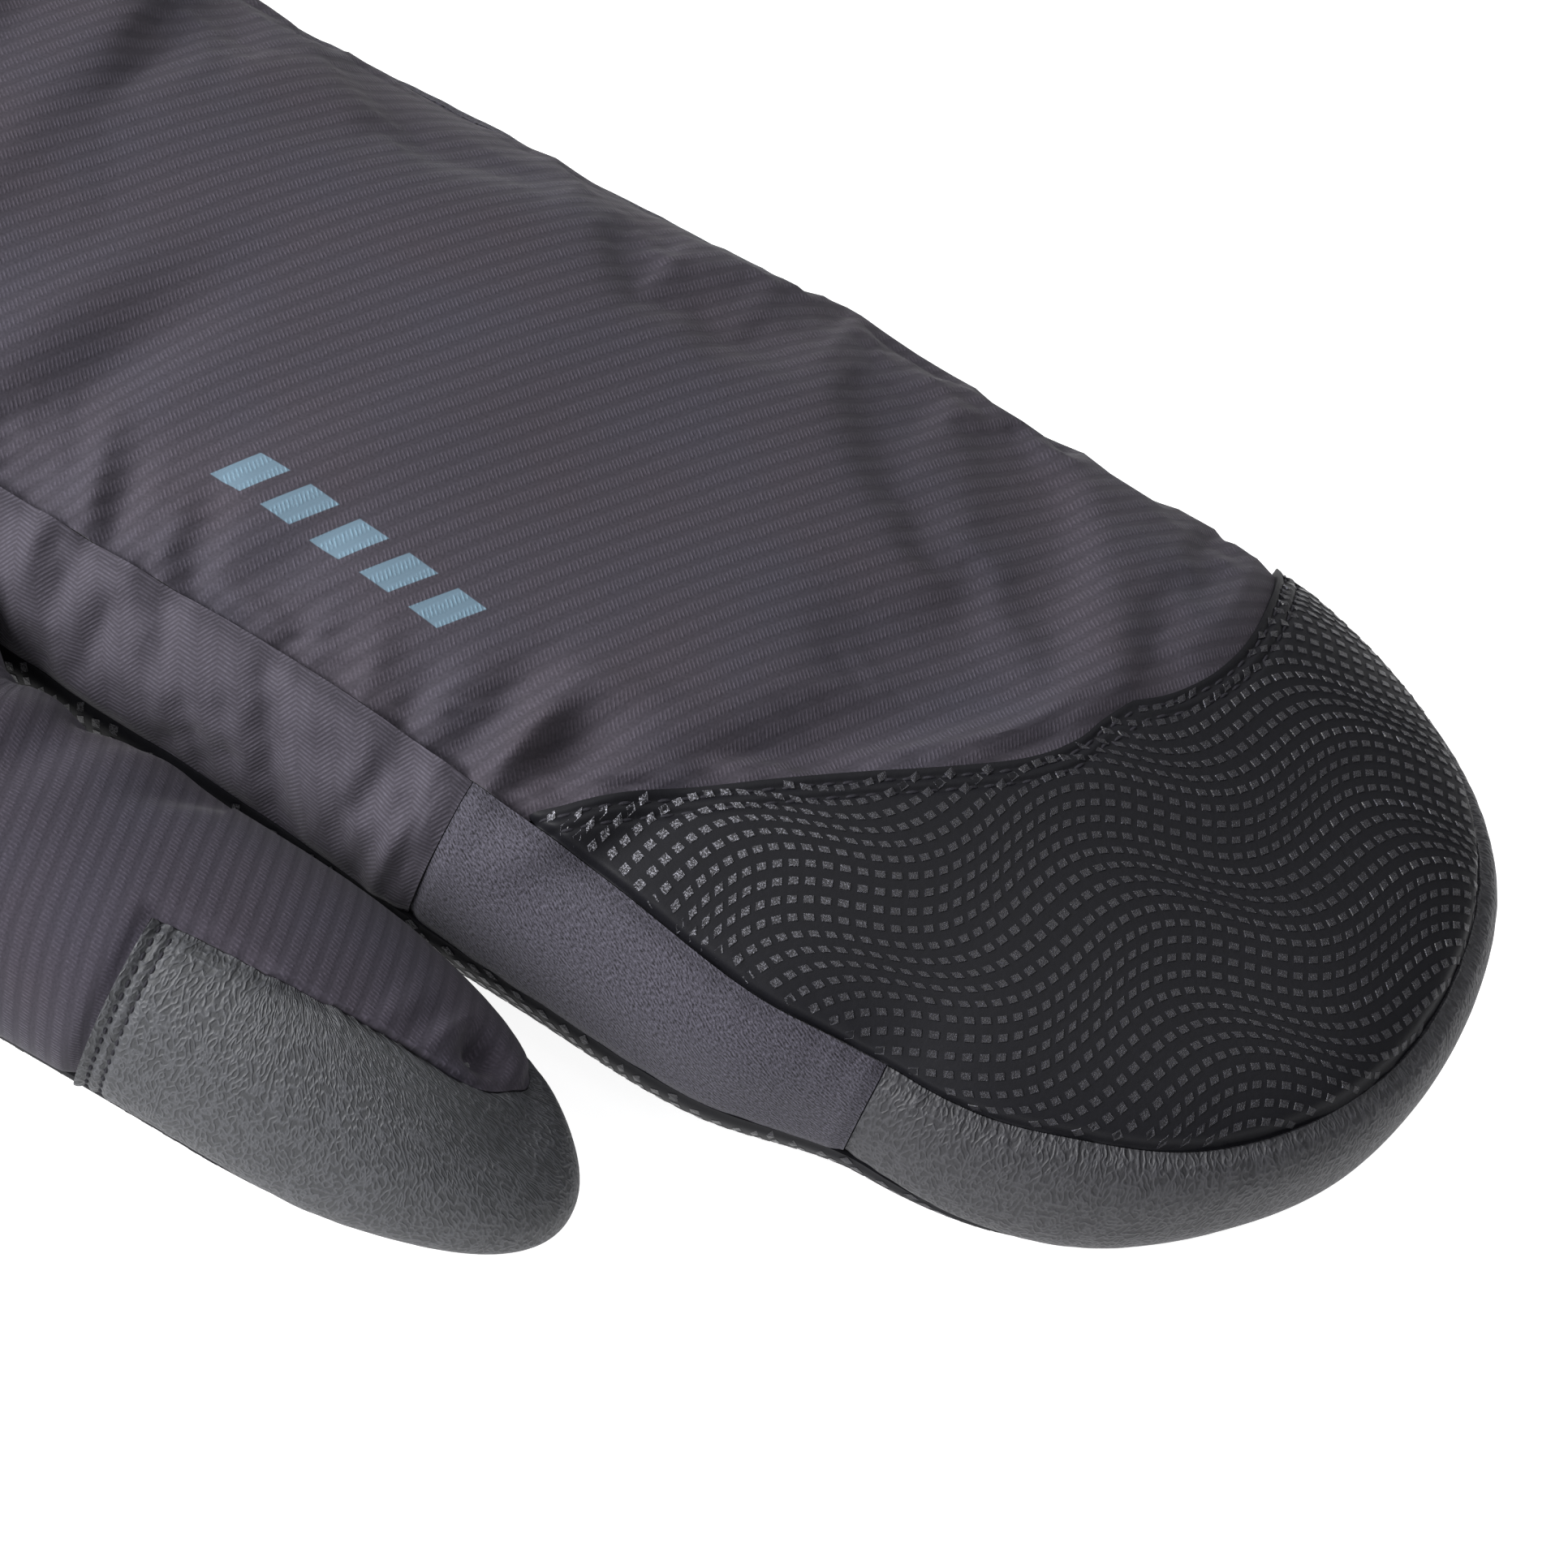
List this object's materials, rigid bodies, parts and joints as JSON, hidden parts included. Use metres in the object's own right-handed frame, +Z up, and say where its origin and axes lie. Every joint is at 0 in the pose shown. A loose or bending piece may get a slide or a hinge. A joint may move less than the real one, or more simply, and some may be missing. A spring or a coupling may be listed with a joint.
{
  "type": "insulated mitten",
  "caption": "Left-hand padded winter mitten lying palm down, with a gripping fingertip cap, a leather thumb patch and a plain open cuff.",
  "frame": {"origin": "On the flat rest face under the palm, 99 mm behind the fingertips, on the hand's middle line", "axes": "+X towards the fingertips, -Y towards the thumb, +Z up from the surface that the palm rests on"},
  "size_m": [0.285, 0.1535, 0.0573],
  "materials": {
    "back_fabric": "matt ribbed dobby weave",
    "gusset_fabric": "matt herringbone weave",
    "stretch_fabric": "matt fine stretch weave",
    "grip_fabric": "black cloth with waves of raised silvery grip dots",
    "thumb_fabric": "matt ribbed dobby weave",
    "band_leather": "pebbled synthetic leather, satin",
    "thumb_leather": "pebbled synthetic leather, satin",
    "cuff_fabric": "matt ribbed dobby weave"
  },
  "bodies": {
    "root": {"back_panel": "back_fabric", "fingertip_cap": "grip_fabric", "palm_panel": "grip_fabric", "gusset_thumb_rear": "gusset_fabric", "gusset_thumb_front": "stretch_fabric", "gusset_tip": "band_leather", "gusset_outer": "stretch_fabric", "thumb_back": "thumb_fabric", "thumb_patch": "thumb_leather", "thumb_palm": "grip_fabric", "cuff": "cuff_fabric"}
  },
  "joints": []
}
